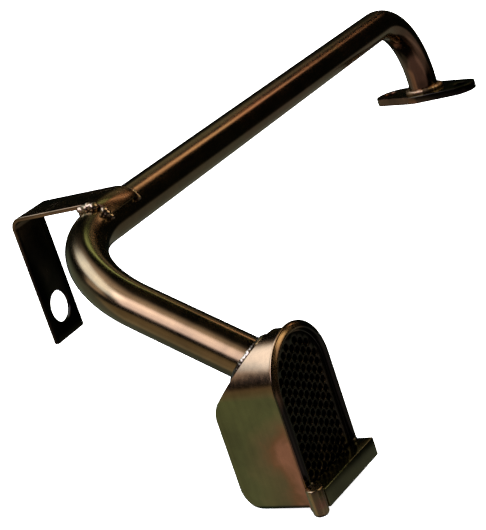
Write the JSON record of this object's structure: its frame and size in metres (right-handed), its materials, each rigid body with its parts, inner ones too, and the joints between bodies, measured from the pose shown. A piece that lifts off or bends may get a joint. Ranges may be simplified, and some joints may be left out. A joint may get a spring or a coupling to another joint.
{
  "type": "oil pickup tube",
  "caption": "Welded engine oil pickup: a bent steel tube with a two-bolt pump flange, a stud bracket and a pressed shroud with a perforated suction screen.",
  "frame": {"origin": "centre of the pump flange on its mating face", "axes": "+Z leaves the flange along the tube, +X is the way the suction screen looks, and the tube runs away from the flange along -Y"},
  "size_m": [0.2001, 0.4906, 0.1228],
  "materials": {
    "dark": "gloss, dark iridescent zinc plate",
    "bronze": "gloss, bronze-brown zinc plate",
    "olive": "gloss, olive-brown zinc plate",
    "gold": "gloss, gold zinc plate",
    "weld": "bright weld bead under zinc plate",
    "screen": "dark oiled zinc plate"
  },
  "bodies": {
    "root": {"pickup_tube": "bronze", "pump_flange": "bronze", "flange_weld": "gold", "stud_bracket": "dark", "bracket_weld_front": "weld", "bracket_weld_corner": "weld", "bracket_weld_back": "weld", "pickup_shroud": "olive", "shroud_weld": "weld", "screen_ring": "gold", "suction_screen": "screen", "floor_spacer": "olive", "stub_foot": "bronze", "spacer_tack_left": "weld", "spacer_tack_right": "weld"}
  },
  "joints": []
}
